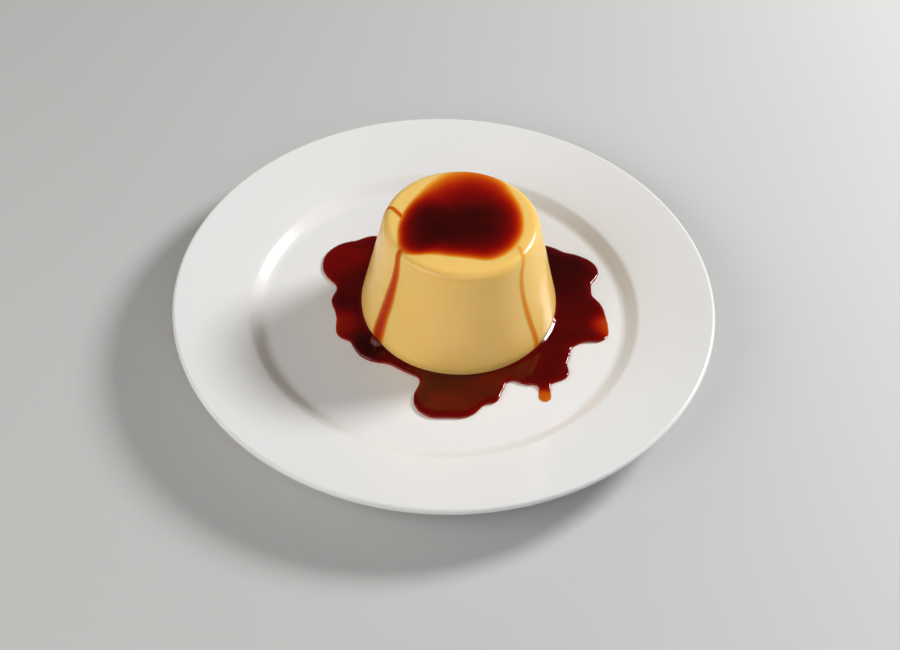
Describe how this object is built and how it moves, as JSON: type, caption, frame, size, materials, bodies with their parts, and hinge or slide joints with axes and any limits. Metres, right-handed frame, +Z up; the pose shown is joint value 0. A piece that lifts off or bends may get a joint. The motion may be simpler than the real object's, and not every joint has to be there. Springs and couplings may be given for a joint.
{
  "type": "creme caramel flan on a plate",
  "caption": "Turned-out creme caramel flan with a caramel top, standing in its sauce on a round rimmed dessert plate.",
  "frame": {"origin": "middle of the plate, on the flat underside of its foot ring, where it stands on the table", "axes": "+Z up through the middle of the plate; -Y towards the side the diner sees, where the sauce's front lobe and drip lie; +X to that diner's right"},
  "size_m": [0.2, 0.2, 0.0533],
  "materials": {
    "porcelain": "glossy white glaze",
    "custard": "silky, moist, slightly translucent set custard",
    "caramel_sauce": "wet, very glossy, dark caramel syrup",
    "caramel_top": "wet, glossy caramel layer that fades into the custard"
  },
  "bodies": {
    "root": {"plate": "porcelain", "custard": "custard", "caramel_pool": "caramel_sauce", "caramel_cap": "caramel_top"}
  },
  "joints": []
}
